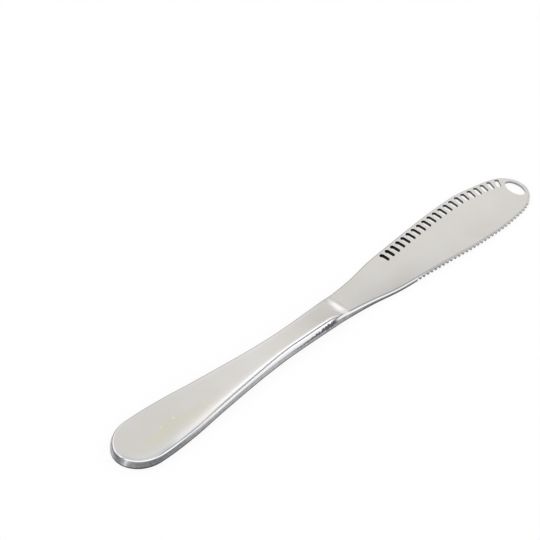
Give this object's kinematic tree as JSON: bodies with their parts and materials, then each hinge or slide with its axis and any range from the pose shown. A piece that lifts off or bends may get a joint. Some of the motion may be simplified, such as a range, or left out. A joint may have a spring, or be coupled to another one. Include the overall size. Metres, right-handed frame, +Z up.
{
  "type": "butter knife",
  "caption": "One-piece steel butter knife with a row of curling slots, a notched edge and an oval hanging hole in its broad round-nosed blade.",
  "frame": {"origin": "middle of the knife's bounding box, on the plane of its flat ground face", "axes": "+X from the handle end to the tip, +Y from the toothed edge to the slotted edge, +Z up out of the ramped face"},
  "size_m": [0.2, 0.0238, 0.0038],
  "materials": {
    "polished_steel": "stainless steel, finely polished to a soft satin shine"
  },
  "bodies": {
    "root": {"knife": "polished_steel"}
  },
  "joints": []
}
